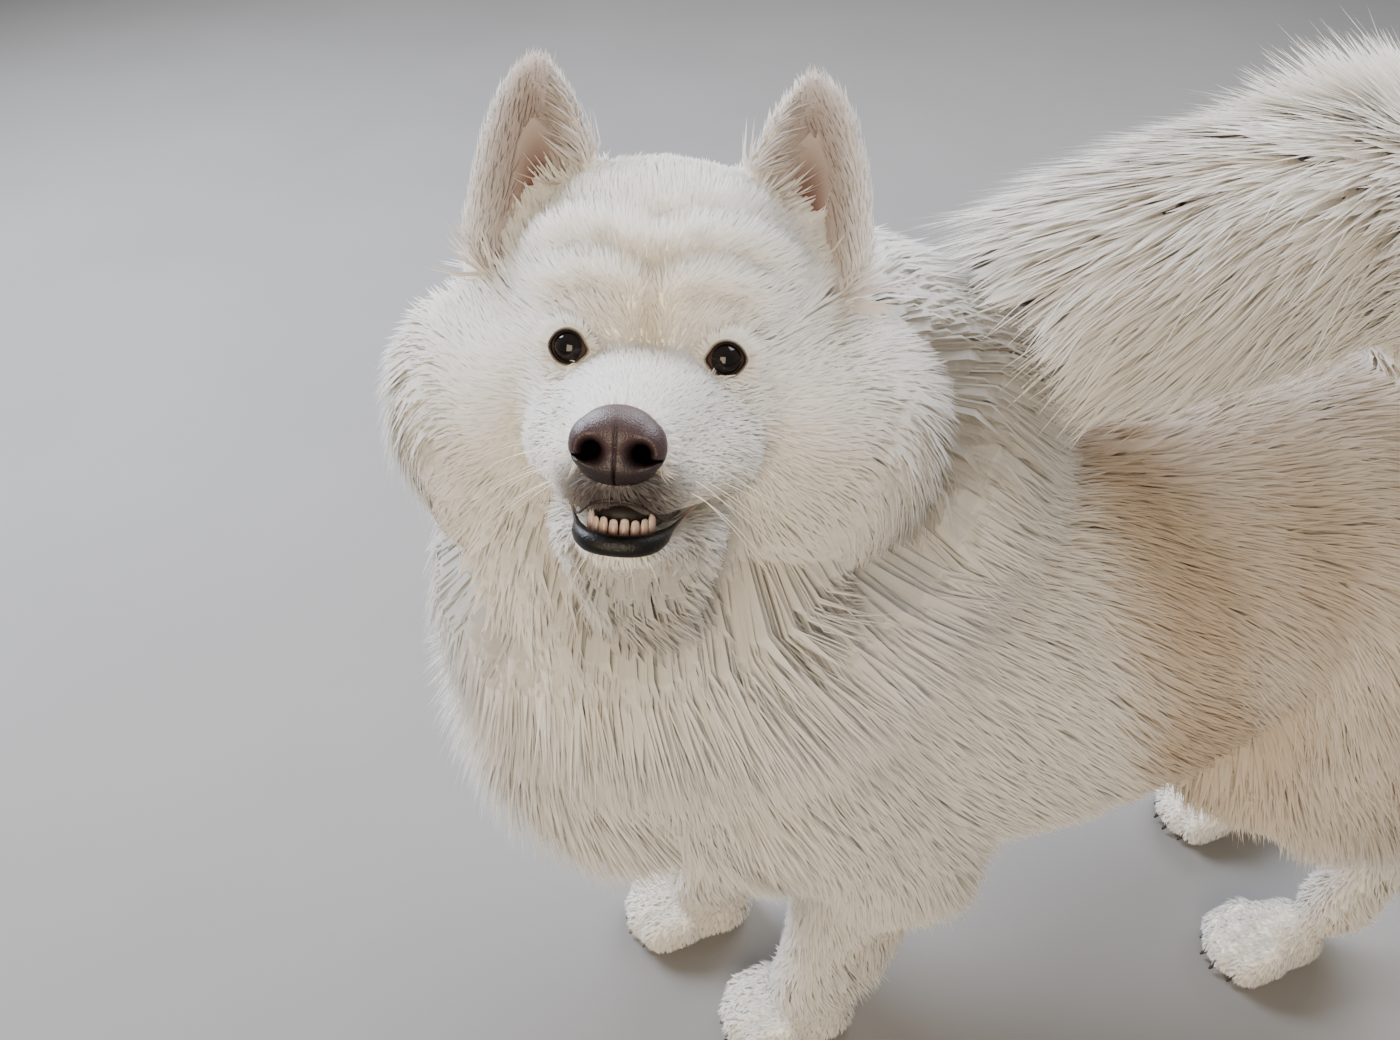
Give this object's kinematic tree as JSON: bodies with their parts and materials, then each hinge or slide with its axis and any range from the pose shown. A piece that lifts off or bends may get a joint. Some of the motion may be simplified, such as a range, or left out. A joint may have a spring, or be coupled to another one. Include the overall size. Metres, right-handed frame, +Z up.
{
  "type": "standing samoyed dog model",
  "caption": "Still life-size model of a standing samoyed dog with raised, turned head, pricked ears, thick coat and tail plume curled over the back.",
  "frame": {"origin": "centre of the bounding box on the floor under the paws", "axes": "-Y is the way the trunk faces, +X the dog's left, +Z up"},
  "size_m": [0.3866, 0.856, 0.8145],
  "materials": {
    "coat": "long dense straight double coat, matte, soft white to cream",
    "face_coat": "short dense plush fur, matte white",
    "nose_leather": "moist pebbled nose leather, satin, liver brown",
    "eye": "wet glossy dark brown eye",
    "mouth": "moist black-brown lips and gums, with ivory teeth"
  },
  "bodies": {
    "root": {"head": "face_coat", "jaw": "mouth", "nose": "nose_leather", "ear_left": "face_coat", "ear_right": "face_coat", "eye_left": "eye", "eye_right": "eye", "neck": "coat", "torso": "coat", "tail_root": "coat", "tail_plume": "coat", "foreleg_left": "coat", "foreleg_right": "coat", "hindleg_left": "coat", "hindleg_right": "coat", "hindfoot_left": "coat", "hindfoot_right": "coat"}
  },
  "joints": []
}
